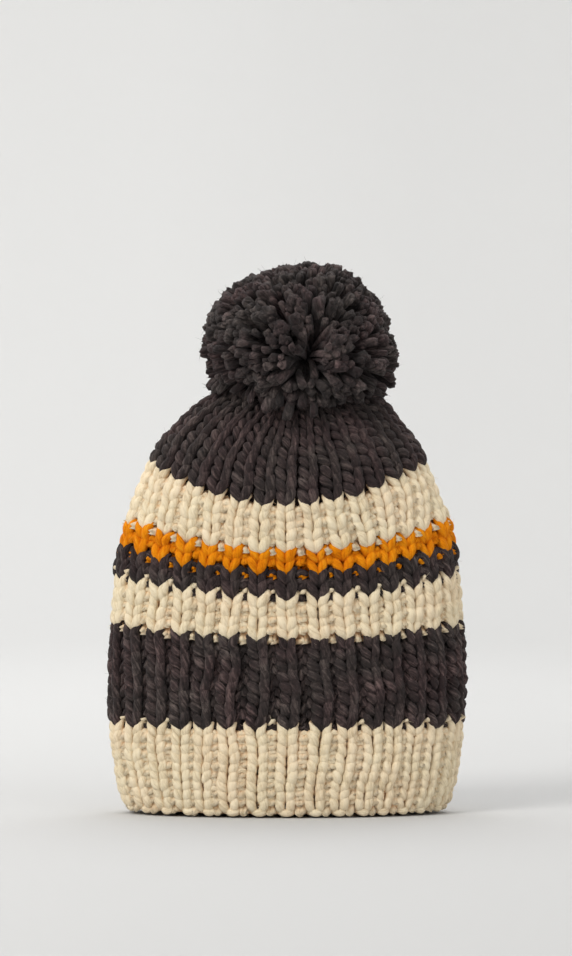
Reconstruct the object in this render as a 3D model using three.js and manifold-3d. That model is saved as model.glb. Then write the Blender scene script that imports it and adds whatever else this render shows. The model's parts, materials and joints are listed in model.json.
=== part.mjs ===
// A chunky hand-knitted beanie in 1x1 rib with a yarn pompom on the crown.
// Units are millimetres. +Z runs up through the crown, the front of the hat faces -Y,
// and the origin is the centre of the head opening, level with the lower edge of the brim.
//
// The knitted tube is made of seven yarn bands, one for each change of yarn. Heights on it
// are counted in knitted rounds. The last round is drawn in by a cord, and the pompom is tied
// on through the ring that cord leaves. The tie can bend and turn in the plane of the cord.
import * as THREE from "three";
import Module from "manifold-3d";
import { mergeVertices } from "three/addons/utils/BufferGeometryUtils.js";

// ---- knitted tube dimensions --------------------------------------------------------------
const ROUNDS = 44; // from the cast-on edge to the closure
const CROWN_START = 29; // first round of the crown
const HALF_BAND_GAP = 0.05; // half of the clearance between two bands, in rounds
const ROUNDS_PER_STEP = 2.4; // target height of a row of facets, in rounds
const SEGMENTS = 44; // facets round the hat
const WALL = 14; // thickness of the relaxed rib, below the crown

// [name, first round, last round, colour], from the brim upwards.
const BANDS = [
  ["brim_band", 0, 8, "cream"],
  ["wide_charcoal_band", 8, 16, "charcoal"],
  ["lower_cream_band", 16, 20, "cream"],
  ["narrow_charcoal_band", 20, 22, "charcoal"],
  ["mustard_band", 22, 24, "mustard"],
  ["upper_cream_band", 24, CROWN_START, "cream"],
  ["crown_panel", CROWN_START, ROUNDS, "charcoal"],
];

// [round, half width, height] of the outer face at the hat's two sides.
const SIDE_OUT = [
  [0, 98.2, 0], [2, 103.2, 13.3], [4, 106, 26.5], [8, 109.3, 53], [12, 110.4, 82.5],
  [16, 109, 113.5], [20, 106.3, 143], [22, 104.6, 160.5], [24, 100.7, 177],
  [26.5, 94, 195], [29, 86.3, 213], [31.4, 79, 227], [33.86, 68.5, 239.5],
  [36.05, 59.5, 250.5], [38.56, 46, 260], [41.4, 28, 265.5], [44, 11, 267.6],
];
// [round, half depth, height] of the outer face at the middle of the front and of the back.
const FRONT_OUT = [
  [0, 45, 0], [2, 46, 13.3], [4, 46, 26.5], [8, 45.5, 53], [12, 45, 79.3],
  [16, 45.5, 105.5], [20, 46.5, 130.5], [22, 47.3, 145], [24, 48.3, 158.6],
  [26.5, 50, 172.8], [29, 51, 187], [31.25, 50.3, 201], [33.5, 47.5, 215],
  [35.8, 42.5, 228], [38.15, 35.5, 241], [40.3, 27.5, 252], [42.3, 19, 261],
  [44, 11, 267.6],
];
// The same two lines on the inner face of the crown.
const SIDE_IN_CROWN = [
  [29, 72.3, 213], [31.4, 66.5, 222.5], [33.86, 58, 231.5], [36.05, 49.5, 239.5],
  [38.56, 38, 247], [41.4, 24, 252.3], [44, 11, 254],
];
const FRONT_IN_CROWN = [
  [29, 37, 187], [31.25, 36.5, 199], [33.5, 34.5, 211], [35.8, 31, 222],
  [38.15, 26, 233], [40.3, 20.5, 241.5], [42.3, 15.5, 248], [44, 11, 254],
];
// [round, sideways shift] of the middle of the hat: the crown leans a little to +X.
const LEAN = [[0, 0], [24, 0.8], [33, 1.6], [36, 3.6], [39, 5.6], [44, 8]];

// ---- dimensions of the other pieces -------------------------------------------------------
// first and last are rounds, and tangent is the stretch of rounds that gives the direction.
const SEAM = { width: 4.4, depth: 2.6, gap: 0.4, first: 0.3, last: 29.4, tangent: 0.2, steps: 12 };
const SEAM_TAPER = 0.7; // width of the seam yarn's inward face, as a share of its full width
const LABEL = { width: 24, height: 32, thick: 0.9, left: 3.2, y: 25.2, bottom: 24 };

const TIE_X = LEAN.at(-1)[1]; // the closure's centre
const DRAW_CORD = { major: 8.2, minor: 2.3, z: 262 };
const SHANK = { radius: 3.6, bottom: 254.6, top: 267.6, facets: 14 };
const KNOT = { radius: 8.6, halfHeight: 6, z: 246.6, rows: 8, facets: 16 };
const POMPOM = { z: 289, rx: 59.5, ry: 54, rz: 46.5, bottom: 274 };
const SLOT_HALF = 2.6; // half of the opening between the pompom's halves
const BINDING = { major: 9.2, minor: 2.2 };
const TAIL_GAP = 0.4; // between the binding and the tails
const TAIL = {
  radius: 2.3,
  bottom: 268.6,
  top: POMPOM.z - BINDING.major - BINDING.minor - TAIL_GAP,
  facets: 12,
};
const TAIL_SPREAD = 2.6; // from the closure's centre to each tail
// overlap is the waist's reach into the front half, gap its clearance from the back half.
const WAIST = { radius: 6.4, overlap: 4, gap: 0.3, facets: 20 };

const COLOURS = {
  cream: { color: 0xdccdae, roughness: 0.95 },
  charcoal: { color: 0x3f3735, roughness: 0.97 },
  mustard: { color: 0xdd8d1a, roughness: 0.95 },
  label: { color: 0xf1efe9, roughness: 0.6 },
};

// ---- helpers ------------------------------------------------------------------------------
const wasm = await Module();
wasm.setup();
const hat = new THREE.Group();

function addMesh(name, geometry, colour) {
  const material = new THREE.MeshStandardMaterial({ ...COLOURS[colour], metalness: 0 });
  const mesh = new THREE.Mesh(geometry, material);
  mesh.name = name;
  hat.add(mesh);
  return mesh;
}

// A value of a table at a round, by Catmull-Rom through the table's rows.
function valueAt(table, round, column) {
  let i = 0;
  while (i < table.length - 2 && round > table[i + 1][0]) i++;
  const start = table[i];
  const end = table[i + 1];
  const before = table[i - 1] ?? start;
  const after = table[i + 2] ?? end;
  const span = end[0] - start[0];
  const rise = (from, to) => ((to[column] - from[column]) / (to[0] - from[0])) * span;
  const t = (round - start[0]) / span;
  const t2 = t * t;
  const t3 = t2 * t;
  return (2 * t3 - 3 * t2 + 1) * start[column] + (t3 - 2 * t2 + t) * rise(before, end) +
    (-2 * t3 + 3 * t2) * end[column] + (t3 - t2) * rise(start, after);
}

// A point [x, y, z] of the hat's outer or inner face, at a round and an angle from +X.
function facePoint(round, angle, inner) {
  const inCrown = inner && round >= CROWN_START;
  const side = inCrown ? SIDE_IN_CROWN : SIDE_OUT;
  const front = inCrown ? FRONT_IN_CROWN : FRONT_OUT;
  const inset = inner && !inCrown ? WALL : 0;
  const cos = Math.cos(angle);
  const sideZ = valueAt(side, round, 2);
  const frontZ = valueAt(front, round, 2);
  return [
    valueAt(LEAN, round, 1) + (valueAt(side, round, 1) - inset) * cos,
    (valueAt(front, round, 1) - inset) * Math.sin(angle),
    frontZ + (sideZ - frontZ) * cos * cos,
  ];
}

// Indexed geometry from points and quads; each quad is given anticlockwise seen from outside.
function fromQuads(points, quads) {
  const geometry = new THREE.BufferGeometry();
  geometry.setAttribute("position", new THREE.Float32BufferAttribute(points.flat(), 3));
  geometry.setIndex(quads.flatMap(([a, b, c, d]) => [a, b, c, a, c, d]));
  geometry.computeVertexNormals();
  return geometry;
}

// Three.js geometry to a Manifold solid, with its duplicate vertices welded.
function toSolid(geometry) {
  geometry.deleteAttribute("normal");
  geometry.deleteAttribute("uv");
  const welded = mergeVertices(geometry, 1e-4);
  return new wasm.Manifold(
    new wasm.Mesh({
      numProp: 3,
      vertProperties: welded.attributes.position.array,
      triVerts: new Uint32Array(welded.index.array),
    }),
  );
}

function toGeometry(solid) {
  const { vertProperties, triVerts } = solid.getMesh();
  const geometry = new THREE.BufferGeometry();
  geometry.setAttribute("position", new THREE.BufferAttribute(vertProperties, 3));
  geometry.setIndex(new THREE.BufferAttribute(triVerts, 1));
  geometry.computeVertexNormals();
  return geometry;
}

// ---- the knitted tube ---------------------------------------------------------------------
// One band of the tube, as a closed ring between two rounds.
function bandGeometry(first, last) {
  const low = first === 0 ? first : first + HALF_BAND_GAP;
  const high = last === ROUNDS ? last : last - HALF_BAND_GAP;
  const steps = Math.max(1, Math.round((high - low) / ROUNDS_PER_STEP));
  const points = [];
  for (const inner of [false, true])
    for (let j = 0; j <= steps; j++)
      for (let i = 0; i < SEGMENTS; i++) {
        const round = low + ((high - low) * j) / steps;
        points.push(facePoint(round, (i / SEGMENTS) * 2 * Math.PI, inner));
      }
  const outerId = (j, i) => j * SEGMENTS + (i % SEGMENTS);
  const innerId = (j, i) => outerId(j + steps + 1, i);
  const quads = [];
  for (let i = 0; i < SEGMENTS; i++) {
    const k = i + 1;
    for (let j = 0; j < steps; j++) {
      quads.push([outerId(j, i), outerId(j, k), outerId(j + 1, k), outerId(j + 1, i)]);
      quads.push([innerId(j, k), innerId(j, i), innerId(j + 1, i), innerId(j + 1, k)]);
    }
    // The lower and upper edges of the ring.
    quads.push([innerId(0, i), innerId(0, k), outerId(0, k), outerId(0, i)]);
    quads.push([outerId(steps, i), outerId(steps, k), innerId(steps, k), innerId(steps, i)]);
  }
  return fromQuads(points, quads);
}

// The cord drawn through the last round of stitches.
function addDrawCord() {
  const ring = new THREE.TorusGeometry(DRAW_CORD.major, DRAW_CORD.minor, 8, 24);
  addMesh("crown_draw_cord", ring, "charcoal").position.set(TIE_X, 0, DRAW_CORD.z);
}

// The sewing yarn of the centre-back seam: a closed bar along the inside, from brim to crown.
function addSeamYarn() {
  const half = SEAM.width / 2;
  const far = SEAM.gap + SEAM.depth;
  // [across, inwards] corners of the bar's cross-section.
  const section = [
    [-half, SEAM.gap],
    [-half * SEAM_TAPER, far],
    [half * SEAM_TAPER, far],
    [half, SEAM.gap],
  ];
  const corners = section.length;
  const across = new THREE.Vector3(1, 0, 0);
  const back = Math.PI / 2;
  const points = [];
  const quads = [];
  for (let j = 0; j <= SEAM.steps; j++) {
    const round = SEAM.first + ((SEAM.last - SEAM.first) * j) / SEAM.steps;
    const origin = new THREE.Vector3(...facePoint(round, back, true));
    const next = new THREE.Vector3(...facePoint(round + SEAM.tangent, back, true));
    const inwards = across.clone().cross(next.sub(origin)).normalize();
    for (const [u, w] of section)
      points.push(
        origin.clone().addScaledVector(across, u).addScaledVector(inwards, w).toArray(),
      );
  }
  for (let j = 0; j < SEAM.steps; j++)
    for (let i = 0; i < corners; i++) {
      const k = (i + 1) % corners;
      const row = j * corners;
      quads.push([row + i, row + k, row + corners + k, row + corners + i]);
    }
  const last = SEAM.steps * corners;
  quads.push([3, 2, 1, 0], [last, last + 1, last + 2, last + 3]);
  addMesh("back_seam_yarn", fromQuads(points, quads), "cream");
}

// A blank care label, upright inside the back, with its -X edge beside the seam.
function addLabel() {
  const sheet = new THREE.BoxGeometry(LABEL.width, LABEL.thick, LABEL.height);
  addMesh("care_label", sheet, "label")
    .position.set(LABEL.left + LABEL.width / 2, LABEL.y, LABEL.bottom + LABEL.height / 2);
}

// ---- the tie ------------------------------------------------------------------------------
// The knot under the closure, inside the hat.
function addKnot() {
  const outline = [];
  for (let i = 0; i <= KNOT.rows; i++) {
    const angle = (i / KNOT.rows) * Math.PI;
    const atPole = i === 0 || i === KNOT.rows;
    const radius = atPole ? 0 : KNOT.radius * Math.sin(angle);
    outline.push(new THREE.Vector2(radius, -KNOT.halfHeight * Math.cos(angle)));
  }
  const knot = addMesh("inside_knot", new THREE.LatheGeometry(outline, KNOT.facets), "charcoal");
  knot.rotation.x = Math.PI / 2;
  knot.position.set(TIE_X, 0, KNOT.z);
}

// An upright length of tie cord.
function addUprightCord(name, x, { radius, bottom, top, facets }) {
  const cylinder = new THREE.CylinderGeometry(radius, radius, top - bottom, facets);
  const cord = addMesh(name, cylinder, "charcoal");
  cord.rotation.x = Math.PI / 2;
  cord.position.set(x, 0, (top + bottom) / 2);
}

// ---- the pompom ---------------------------------------------------------------------------
// The binding is a loop of yarn round the waist of the bundle of strands.
function addBinding() {
  const ring = new THREE.TorusGeometry(BINDING.major, BINDING.minor, 8, 28);
  const binding = addMesh("binding_yarn", ring, "charcoal");
  binding.rotation.x = Math.PI / 2;
  binding.position.set(TIE_X, 0, POMPOM.z);
}

// The cut strands on each side of the binding, trimmed underneath so that the ball can lean.
// The waist that passes through the binding belongs to the front half.
function addPompomHalves() {
  const ball = new THREE.SphereGeometry(1, 32, 18);
  ball.scale(POMPOM.rx, POMPOM.ry, POMPOM.rz);
  ball.translate(TIE_X, 0, POMPOM.z);
  const whole = toSolid(ball);

  // The part of the ball on the side of +Y or -Y given by sign.
  const half = (sign) => {
    const width = POMPOM.rx * 3;
    const depth = POMPOM.ry * 2;
    const height = POMPOM.rz * 2;
    const keep = new THREE.BoxGeometry(width, depth, height);
    keep.translate(TIE_X, sign * (SLOT_HALF + depth / 2), POMPOM.bottom + height / 2);
    return whole.intersect(toSolid(keep));
  };

  const front = -(SLOT_HALF + WAIST.overlap);
  const back = SLOT_HALF - WAIST.gap;
  const waist = new THREE.CylinderGeometry(
    WAIST.radius, WAIST.radius, back - front, WAIST.facets,
  );
  waist.translate(TIE_X, (front + back) / 2, POMPOM.z);
  addMesh("pompom_front_half", toGeometry(half(-1).add(toSolid(waist))), "charcoal");
  addMesh("pompom_back_half", toGeometry(half(1)), "charcoal");
}

// ---- assembly -----------------------------------------------------------------------------
for (const [name, first, last, colour] of BANDS) {
  addMesh(name, bandGeometry(first, last), colour);
}
addDrawCord();
addSeamYarn();
addLabel();
addKnot();
// The shank passes through the closure; the tails run down between the pompom's halves.
addUprightCord("tie_shank", TIE_X, SHANK);
addUprightCord("tie_tail_left", TIE_X - TAIL_SPREAD, TAIL);
addUprightCord("tie_tail_right", TIE_X + TAIL_SPREAD, TAIL);
addBinding();
addPompomHalves();

export default hat;
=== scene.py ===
"""A ribbed knitted hat in cream, charcoal and mustard wool with a charcoal pompom.

The hat stands on its brim, flattened front to back. The origin is the middle of the brim,
+Z is up, the front faces -Y (the camera) and +X is to the right of the picture.
Shapes are worked out in mm, and make_mesh scales them to metres. Places in the fabric are
given by a level (knitting rounds up from the brim), an angle round Z from +X, and a
distance out along the surface normal.
"""

import json
import math
from dataclasses import dataclass

import bpy
import numpy as np
from mathutils import Vector
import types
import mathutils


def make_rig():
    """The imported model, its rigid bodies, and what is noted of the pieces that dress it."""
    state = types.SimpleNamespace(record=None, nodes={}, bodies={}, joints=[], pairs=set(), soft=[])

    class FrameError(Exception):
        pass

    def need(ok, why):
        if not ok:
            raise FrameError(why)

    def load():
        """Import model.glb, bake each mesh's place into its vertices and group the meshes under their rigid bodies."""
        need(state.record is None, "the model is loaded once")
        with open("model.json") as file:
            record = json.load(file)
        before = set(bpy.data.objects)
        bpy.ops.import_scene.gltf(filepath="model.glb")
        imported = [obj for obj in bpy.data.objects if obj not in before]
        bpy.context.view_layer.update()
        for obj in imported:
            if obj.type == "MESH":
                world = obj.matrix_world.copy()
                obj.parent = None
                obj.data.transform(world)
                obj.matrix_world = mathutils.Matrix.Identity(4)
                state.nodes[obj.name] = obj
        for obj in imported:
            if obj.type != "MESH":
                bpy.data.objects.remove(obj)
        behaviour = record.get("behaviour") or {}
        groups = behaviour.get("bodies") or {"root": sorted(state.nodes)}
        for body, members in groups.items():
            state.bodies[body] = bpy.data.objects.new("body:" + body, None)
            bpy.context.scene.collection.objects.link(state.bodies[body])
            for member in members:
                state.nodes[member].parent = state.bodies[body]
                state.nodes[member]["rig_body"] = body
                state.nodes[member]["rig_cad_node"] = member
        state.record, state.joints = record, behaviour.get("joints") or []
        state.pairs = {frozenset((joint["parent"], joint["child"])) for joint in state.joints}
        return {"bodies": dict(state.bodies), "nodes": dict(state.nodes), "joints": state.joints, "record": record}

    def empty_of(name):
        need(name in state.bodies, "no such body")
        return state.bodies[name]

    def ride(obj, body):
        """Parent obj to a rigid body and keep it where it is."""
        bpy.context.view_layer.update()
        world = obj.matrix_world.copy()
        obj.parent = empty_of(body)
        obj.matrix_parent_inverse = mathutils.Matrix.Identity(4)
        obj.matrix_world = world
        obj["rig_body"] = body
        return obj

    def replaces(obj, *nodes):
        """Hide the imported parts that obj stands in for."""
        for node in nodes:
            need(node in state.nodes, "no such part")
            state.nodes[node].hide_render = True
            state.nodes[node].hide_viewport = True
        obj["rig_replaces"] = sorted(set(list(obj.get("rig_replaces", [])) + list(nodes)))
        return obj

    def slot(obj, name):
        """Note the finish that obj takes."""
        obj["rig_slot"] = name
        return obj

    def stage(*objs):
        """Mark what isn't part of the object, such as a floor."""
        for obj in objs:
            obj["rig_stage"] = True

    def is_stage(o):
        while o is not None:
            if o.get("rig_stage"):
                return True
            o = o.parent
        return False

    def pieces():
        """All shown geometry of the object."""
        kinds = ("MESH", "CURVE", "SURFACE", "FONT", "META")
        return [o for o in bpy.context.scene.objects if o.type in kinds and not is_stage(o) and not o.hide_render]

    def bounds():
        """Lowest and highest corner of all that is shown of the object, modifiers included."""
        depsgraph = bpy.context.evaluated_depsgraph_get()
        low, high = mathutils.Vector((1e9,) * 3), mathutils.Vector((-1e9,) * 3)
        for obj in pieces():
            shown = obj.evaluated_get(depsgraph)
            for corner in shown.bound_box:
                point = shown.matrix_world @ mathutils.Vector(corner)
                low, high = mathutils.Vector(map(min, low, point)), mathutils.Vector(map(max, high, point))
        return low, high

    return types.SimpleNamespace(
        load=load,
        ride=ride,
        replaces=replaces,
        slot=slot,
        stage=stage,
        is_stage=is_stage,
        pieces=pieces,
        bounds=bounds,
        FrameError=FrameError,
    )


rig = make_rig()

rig.load()
CAD_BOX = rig.bounds()
MM = 0.001
TAU = 2 * math.pi
rng = np.random.default_rng(20)

# ------------------------------------------------------------------ the hat's surface
TOP = 44  # level where the crown closes
CROWN_START = 29  # level where the bands end and the crown begins
PER_ROUND = 20  # samples of the outlines for each level

# Side outline: level, half width, height
SIDE = np.array([
    (0, 98.2, 0), (2, 103.2, 13.3), (4, 106, 26.5), (8, 109.3, 53), (12, 110.4, 82.5),
    (16, 109, 113.5), (20, 106.3, 143), (22, 104.6, 160.5), (24, 100.7, 177),
    (26.5, 94, 195), (29, 86.3, 213), (31.4, 79, 227), (33.86, 68.5, 239.5),
    (36.05, 59.5, 250.5), (38.56, 46, 260), (41.4, 28, 265.5), (44, 11, 267.6)], float)
# Front outline: level, half depth, height
FRONT = np.array([
    (0, 45, 0), (2, 46, 13.3), (4, 46, 26.5), (8, 45.5, 53), (12, 45, 79.3),
    (16, 45.5, 105.5), (20, 46.5, 130.5), (22, 47.3, 145), (24, 48.3, 158.6),
    (26.5, 50, 172.8), (29, 51, 187), (31.25, 50.3, 201), (33.5, 47.5, 215),
    (35.8, 42.5, 228), (38.15, 35.5, 241), (40.3, 27.5, 252), (42.3, 19, 261),
    (44, 11, 267.6)], float)
# Lean of the crown: level, shift towards +X
LEAN = np.array([(0, 0), (24, 0.8), (33, 1.6), (36, 3.6), (39, 5.6), (44, 8)], float)


def smooth_at(table, level, column):
    """Cubic interpolation of one column, with slopes taken across the neighbouring rows."""
    i = 0
    while i < len(table) - 2 and level > table[i + 1][0]:
        i += 1
    start, end = table[i], table[i + 1]
    before, after = table[max(i - 1, 0)], table[min(i + 2, len(table) - 1)]
    span = end[0] - start[0]
    t = min(max((level - start[0]) / span, 0), 1)

    def rise(low, high):
        return (high[column] - low[column]) / (high[0] - low[0]) * span

    t2, t3 = t * t, t ** 3
    return ((2 * t3 - 3 * t2 + 1) * start[column] + (t3 - 2 * t2 + t) * rise(before, end)
            + (-2 * t3 + 3 * t2) * end[column] + (t3 - t2) * rise(start, after))


LEVELS = np.linspace(0, TOP, TOP * PER_ROUND + 1)
OUTLINES = [np.array([smooth_at(table, level, column) for level in LEVELS])
            for table, column in ((SIDE, 1), (FRONT, 1), (SIDE, 2), (FRONT, 2), (LEAN, 1))]
HALF_WIDTH, HALF_DEPTH, SIDE_Z, FRONT_Z, LEAN_X = OUTLINES


def section(level):
    """Half width, half depth, side height, front height and lean at a level."""
    return [np.interp(level, LEVELS, values) for values in OUTLINES]


def outer(level, angle):
    """A point of the hat's outer face."""
    cos, sin = np.cos(angle), np.sin(angle)
    width, depth, side_z, front_z, lean = section(level)
    return np.stack([lean + width * cos, depth * sin,
                     front_z + (side_z - front_z) * cos * cos], -1)


def frame_at(level, angle):
    """Outer point, outward normal, and mm per radian."""
    point = outer(level, angle)
    eps = 1e-3
    around = (outer(level, angle + eps) - outer(level, angle - eps)) / (2 * eps)
    upward = (outer(np.minimum(level + 0.3, TOP), angle)
              - outer(np.maximum(level - 0.3, 0), angle))
    normal = np.cross(around, upward)
    normal /= np.linalg.norm(normal, axis=-1, keepdims=True)
    return point, normal, np.linalg.norm(around, axis=-1)


def depth_of(verts):
    """How deep each vertex lies in the fabric: 0 near the outer face, 1 in the grooves. The wools use it as the mask
    of their painted shade.
    """
    x, y, z = np.asarray(verts, float).T
    level = np.interp(z, FRONT_Z, LEVELS)
    for _ in range(8):
        width, depth, side_z, front_z, lean = section(level)
        u, w = (x - lean) / width, y / depth
        rho = np.hypot(u, w) + 1e-6
        level = np.clip(level + (z - front_z - (side_z - front_z) * (u / rho) ** 2) / 6.6, 0, TOP)
    deep = (1 - rho) * width * depth / np.hypot(depth * u / rho, width * w / rho)
    t = np.clip((deep - 2.8) / 3.7, 0, 1) * np.clip((10.2 - deep) / 2.0, 0, 1)
    return t * t * (3 - 2 * t)


# ------------------------------------------------------------------ the knit columns
NCOL = 30  # 15 on the front and 15 on the back
# X of the front columns where the hat is widest, from left to right
FRONT_X = [-107.7, -96, -81.4, -66.2, -52.2, -36.3, -18, 0.3, 20.4, 36.3, 52.8, 66.2, 80.2,
           92.4, 105.2]
BODY_OVAL = 103, 38  # half width and half depth that space the columns of the bands
CROWN_OVAL = 80, 47  # the same for the crown
EVEN_FROM = 22.5  # level where the columns start to even out towards the crown


def oval_arc(angles, oval):
    """Running length along an oval."""
    steps = np.hypot(oval[0] * np.diff(np.cos(angles)), oval[1] * np.diff(np.sin(angles)))
    return np.concatenate([[0], np.cumsum(steps)])


def spline(p0, p1, p2, p3, f):
    """Catmull-Rom between p1 and p2."""
    return 0.5 * (2 * p1 + (p2 - p0) * f + (2 * p0 - 5 * p1 + 4 * p2 - p3) * f ** 2
                  + (3 * p1 - p0 - 3 * p2 + p3) * f ** 3)


def column_angles():
    """Angle of each knit column: measured on the front, nearly even on the back."""
    widest = SIDE[:, 1].max()
    front = np.array([-math.acos(x / widest) for x in FRONT_X])
    angles = np.linspace(0, math.pi, 2000)
    arc = oval_arc(angles, BODY_OVAL)
    first, last = [np.interp(math.radians(a), angles, arc) for a in (3, 173)]
    places = np.linspace(first, last, 15) + np.concatenate([[0], rng.normal(0, 1.0, 13), [0]])
    return np.concatenate([front, np.interp(places, arc, angles)])


COLUMN_ANGLES = column_angles()
COLUMN_GRID = np.linspace(-2, 32, 3401)


def measured_map():
    """Angle against column number, smooth through the columns and the points midway."""
    knots = np.concatenate([COLUMN_ANGLES, [COLUMN_ANGLES[0] + TAU]])
    turn = np.linspace(-TAU, 2 * TAU, 20001)
    arc = oval_arc(turn, BODY_OVAL)
    at_knots = np.interp(knots, turn, arc)
    halves = np.empty(2 * NCOL)
    halves[0::2] = COLUMN_ANGLES
    halves[1::2] = np.interp((at_knots[:-1] + at_knots[1:]) / 2, arc, turn)
    steps = np.arange(-10, 71)
    column = steps / 2.0
    angle = np.array([halves[i % 60] + TAU * (i // 60) for i in steps])
    i = np.clip(np.searchsorted(column, COLUMN_GRID) - 1, 1, len(column) - 3)
    f = (COLUMN_GRID - column[i]) / 0.5
    return spline(angle[i - 1], angle[i], angle[i + 1], angle[i + 2], f)


def even_map():
    """The same columns spread evenly round the crown."""
    turn = np.linspace(-2 * TAU, 2 * TAU, 20001)
    arc = oval_arc(turn, CROWN_OVAL)
    once = arc[-1] / 4
    start = (np.interp(COLUMN_ANGLES, turn, arc) - np.arange(NCOL) * once / NCOL).mean()
    return np.interp(start + COLUMN_GRID * once / NCOL, arc, turn)


MEASURED, EVEN = measured_map(), even_map()


def angle_of(column, level=0.0):
    turns = np.floor(column / NCOL)
    t = np.clip((np.asarray(level) - EVEN_FROM) / (CROWN_START - EVEN_FROM), 0, 1)
    t = t * t * (3 - 2 * t)
    rest = column - turns * NCOL
    return (np.interp(rest, COLUMN_GRID, MEASURED) * (1 - t)
            + np.interp(rest, COLUMN_GRID, EVEN) * t + TAU * turns)


# Columns wander a little up the hat: smooth noise per column.
WALK = rng.normal(0, 1, (NCOL, 18))
WALK = (WALK + np.roll(WALK, 1, 0) * 0.5 + np.roll(WALK, -1, 0) * 0.5) / 1.6


def wander(column, level):
    x = np.clip(level / TOP * 16, 0, 16.99)
    i = x.astype(int)
    f = x - i
    f = f * f * (3 - 2 * f)
    k = np.mod(np.floor(column), NCOL).astype(int)
    g = column - np.floor(column)
    g = g * g * (3 - 2 * g)
    after = (k + 1) % NCOL
    here = WALK[k, i] * (1 - f) + WALK[k, i + 1] * f
    there = WALK[after, i] * (1 - f) + WALK[after, i + 1] * f
    return here * (1 - g) + there * g


# ------------------------------------------------------------------ tubes of yarn
def unit(v):
    return v / np.maximum(np.linalg.norm(v, axis=-1, keepdims=True), 1e-12)


def tube_faces(count, rings, sides, closed, stride=None):
    """Quads of a number of tubes, whose vertices start a stride apart."""
    base = (np.arange(count) * (stride or rings * sides))[:, None, None]
    i = np.arange(rings if closed else rings - 1)[None, :, None]
    j = np.arange(sides)[None, None, :]
    here, there = base + i * sides, base + (i + 1) % rings * sides
    j2 = (j + 1) % sides
    corners = np.broadcast_arrays(here + j, here + j2, there + j2, there + j)
    return np.stack(corners, -1).reshape(-1, 4)


def sweep(paths, radii, sides=8, closed=True, twist=0.21, *, phase):
    """Tubes along paths (M, N, 3) with radii (M, N).

    Returns vertices, faces, the yarn coordinate that turns with the twist, and the shape."""
    count, rings, _ = paths.shape
    if closed:
        tangent = unit(np.roll(paths, -1, 1) - np.roll(paths, 1, 1))
    else:
        tangent = unit(np.gradient(paths, axis=1))
    lengths = np.linalg.norm(np.diff(paths, axis=1), axis=-1)
    along = np.concatenate([np.zeros((count, 1)), np.cumsum(lengths, 1)], 1)
    ref = np.array([0.13, 0.2, 1.0])
    side = unit(ref - (ref * tangent[:, 0]).sum(-1, keepdims=True) * tangent[:, 0])
    across = np.empty_like(paths)
    across[:, 0] = side
    for i in range(1, rings):  # two reflections carry the frame on without twisting it
        v1 = paths[:, i] - paths[:, i - 1]
        c1 = np.maximum((v1 * v1).sum(-1, keepdims=True), 1e-12)
        side_l = side - 2 / c1 * (v1 * side).sum(-1, keepdims=True) * v1
        tan_l = (tangent[:, i - 1]
                 - 2 / c1 * (v1 * tangent[:, i - 1]).sum(-1, keepdims=True) * v1)
        v2 = tangent[:, i] - tan_l
        c2 = np.maximum((v2 * v2).sum(-1, keepdims=True), 1e-12)
        side = unit(side_l - 2 / c2 * (v2 * side_l).sum(-1, keepdims=True) * v2)
        across[:, i] = side
    other = np.cross(tangent, across)
    turn = np.arange(sides) / sides * TAU
    offset = (across[:, :, None] * np.cos(turn)[None, None, :, None]
              + other[:, :, None] * np.sin(turn)[None, None, :, None])
    points = paths[:, :, None] + offset * radii[:, :, None, None]
    phase = phase[:, None, None]
    angle = turn[None, None, :] + twist * along[:, :, None] + phase
    yarn = np.stack([np.cos(angle), np.sin(angle),
                     np.repeat(along[:, :, None], sides, 2) * 0.1 + phase * 7], -1)
    faces = tube_faces(count, rings, sides, closed)
    return points.reshape(-1, 3), faces, yarn.reshape(-1, 3), (count, rings, sides)


def random_phases(count):
    return rng.uniform(0, TAU, count)


def cap_ends(verts, yarn, shape):
    """Close the two ends of every open tube with a fan."""
    count, rings, sides = shape
    v, y = verts.reshape(*shape, 3), yarn.reshape(*shape, 3)
    total = len(verts)
    j = np.arange(sides)
    j2 = (j + 1) % sides
    tris = []
    for i in range(count):
        start = i * rings * sides
        end = start + (rings - 1) * sides
        tris.append(np.stack([start + j2, start + j, np.full(sides, total + i)], -1))
        tris.append(np.stack([end + j, end + j2, np.full(sides, total + count + i)], -1))
    return (np.concatenate([verts, v[:, 0].mean(1), v[:, -1].mean(1)]),
            np.concatenate([yarn, y[:, 0].mean(1), y[:, -1].mean(1)]), np.concatenate(tris))


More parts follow.
